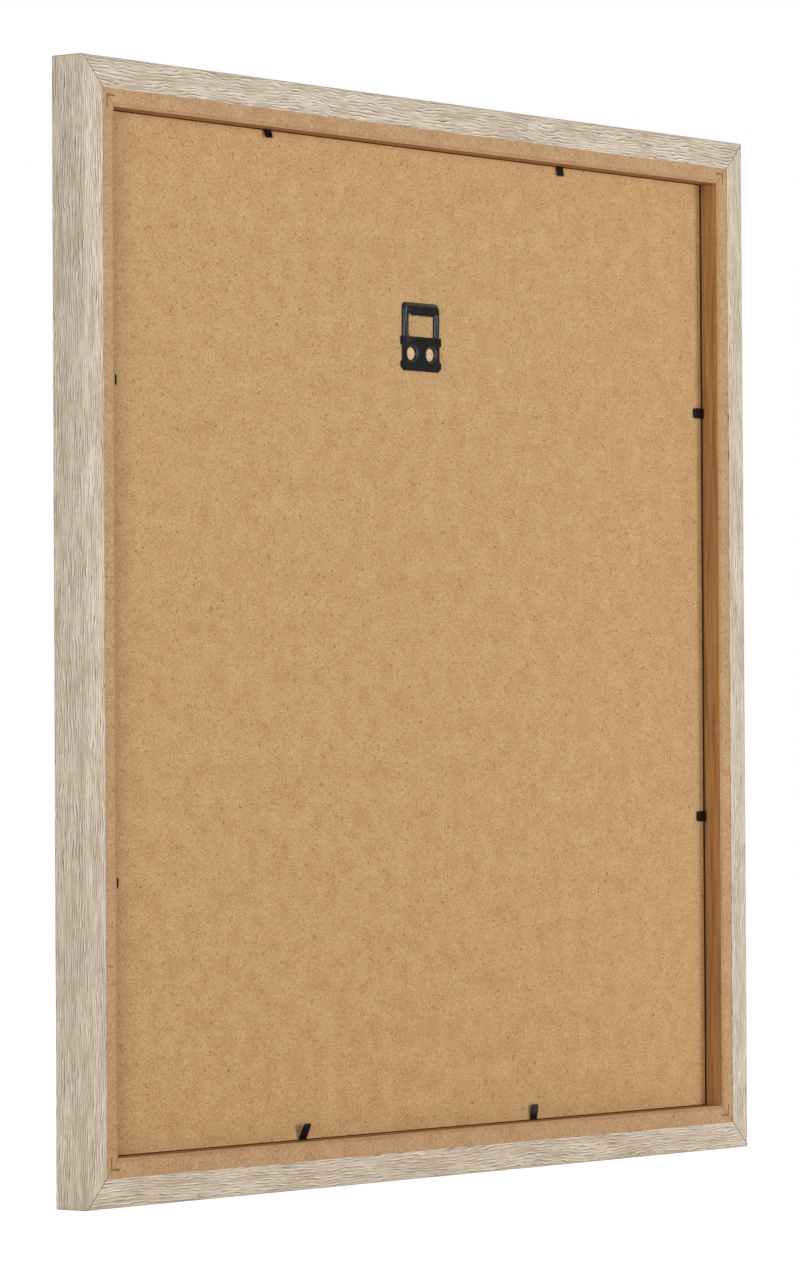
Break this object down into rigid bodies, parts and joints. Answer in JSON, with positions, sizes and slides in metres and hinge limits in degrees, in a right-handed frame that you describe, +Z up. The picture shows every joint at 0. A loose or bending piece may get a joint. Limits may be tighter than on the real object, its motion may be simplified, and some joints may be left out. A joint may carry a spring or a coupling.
{
  "type": "picture frame",
  "caption": "Square mitred picture frame with glazing and backing board held by bendable tabs, V-nailed corners and a stamped sawtooth hanger on its back.",
  "frame": {"origin": "where a nail carries the frame: the middle notch of the hanger's teeth, brought back to the plane of the wall", "axes": "+X to the right as seen from the front, +Y towards the wall, +Z up"},
  "size_m": [0.549, 0.02, 0.549],
  "materials": {
    "mdf": "matte",
    "foil": "matte",
    "board": "matte",
    "black_steel": "satin",
    "nail_steel": "satin",
    "glass": "polished",
    "paper": "matte"
  },
  "bodies": {
    "frame": {"bottom_rail": "mdf", "left_rail": "mdf", "top_rail": "mdf", "right_rail": "mdf", "bottom_rail_foil": "foil", "left_rail_foil": "foil", "top_rail_foil": "foil", "right_rail_foil": "foil", "v_nail_bottom_left": "nail_steel", "v_nail_bottom_right": "nail_steel", "v_nail_top_left": "nail_steel", "v_nail_top_right": "nail_steel", "tab_shank_bottom_right": "black_steel", "tab_shank_bottom_left": "black_steel", "tab_shank_right_upper": "black_steel", "tab_shank_right_lower": "black_steel", "tab_shank_top_right": "black_steel", "tab_shank_top_left": "black_steel", "tab_shank_left_upper": "black_steel", "tab_shank_left_lower": "black_steel", "glazing_pane": "glass", "picture_insert": "paper", "backing_board": "board", "sawtooth_hanger": "black_steel"},
    "tab_bottom_right": {"flex_tab_bottom_right": "black_steel"},
    "tab_bottom_left": {"flex_tab_bottom_left": "black_steel"},
    "tab_right_upper": {"flex_tab_right_upper": "black_steel"},
    "tab_right_lower": {"flex_tab_right_lower": "black_steel"},
    "tab_top_right": {"flex_tab_top_right": "black_steel"},
    "tab_top_left": {"flex_tab_top_left": "black_steel"},
    "tab_left_upper": {"flex_tab_left_upper": "black_steel"},
    "tab_left_lower": {"flex_tab_left_lower": "black_steel"}
  },
  "joints": [
    {"name": "bend_bottom_right", "type": "hinge", "parent": "frame", "child": "tab_bottom_right", "pos_m": [0.0997, -0.01045, -0.4166], "axis": [-1, 0, 0], "range_deg": [-24, 66]},
    {"name": "bend_bottom_left", "type": "hinge", "parent": "frame", "child": "tab_bottom_left", "pos_m": [-0.0924, -0.01045, -0.4166], "axis": [-1, 0, 0], "range_deg": [-9, 81]},
    {"name": "bend_right_upper", "type": "hinge", "parent": "frame", "child": "tab_right_upper", "pos_m": [0.2505, -0.01045, -0.0452], "axis": [0, 0, -1], "range_deg": [-25, 65]},
    {"name": "bend_right_lower", "type": "hinge", "parent": "frame", "child": "tab_right_lower", "pos_m": [0.2505, -0.01045, -0.2863], "axis": [0, 0, -1], "range_deg": [-23, 67]},
    {"name": "bend_top_right", "type": "hinge", "parent": "frame", "child": "tab_top_right", "pos_m": [0.1235, -0.01045, 0.0844], "axis": [1, 0, 0], "range_deg": [-21, 69]},
    {"name": "bend_top_left", "type": "hinge", "parent": "frame", "child": "tab_top_left", "pos_m": [-0.1203, -0.01045, 0.0844], "axis": [1, 0, 0], "range_deg": [-10, 80]},
    {"name": "bend_left_upper", "type": "hinge", "parent": "frame", "child": "tab_left_upper", "pos_m": [-0.2505, -0.01045, -0.0404], "axis": [0, 0, 1], "range_deg": [0, 90]},
    {"name": "bend_left_lower", "type": "hinge", "parent": "frame", "child": "tab_left_lower", "pos_m": [-0.2505, -0.01045, -0.2599], "axis": [0, 0, 1], "range_deg": [0, 90]}
  ]
}
